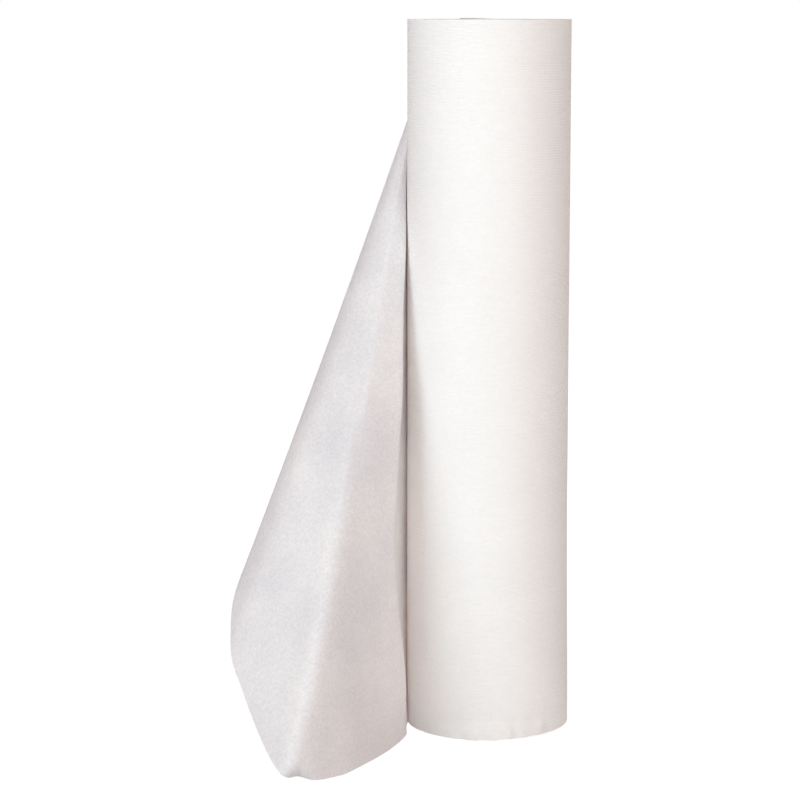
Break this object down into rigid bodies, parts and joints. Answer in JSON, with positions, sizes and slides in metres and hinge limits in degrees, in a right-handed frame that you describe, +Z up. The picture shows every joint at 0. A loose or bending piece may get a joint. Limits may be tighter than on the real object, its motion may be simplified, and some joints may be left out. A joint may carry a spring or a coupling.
{
  "type": "examination table paper roll",
  "caption": "Roll of white examination table paper wound on an open cardboard core, standing on end with its loose end folded out and flopped over beside it.",
  "frame": {"origin": "on the winding axis, in the end face the roll stands on", "axes": "+Z up along the winding axis, -Y towards the front, where the loose end's corner rests, -X to the side the loose end is on"},
  "size_m": [0.2383, 0.3406, 0.5008],
  "materials": {
    "paper": "matte, fine crepe",
    "cardboard": "matte, spiral wound pale greyboard"
  },
  "bodies": {
    "root": {"paper_roll": "paper", "core_tube": "cardboard"}
  },
  "joints": []
}
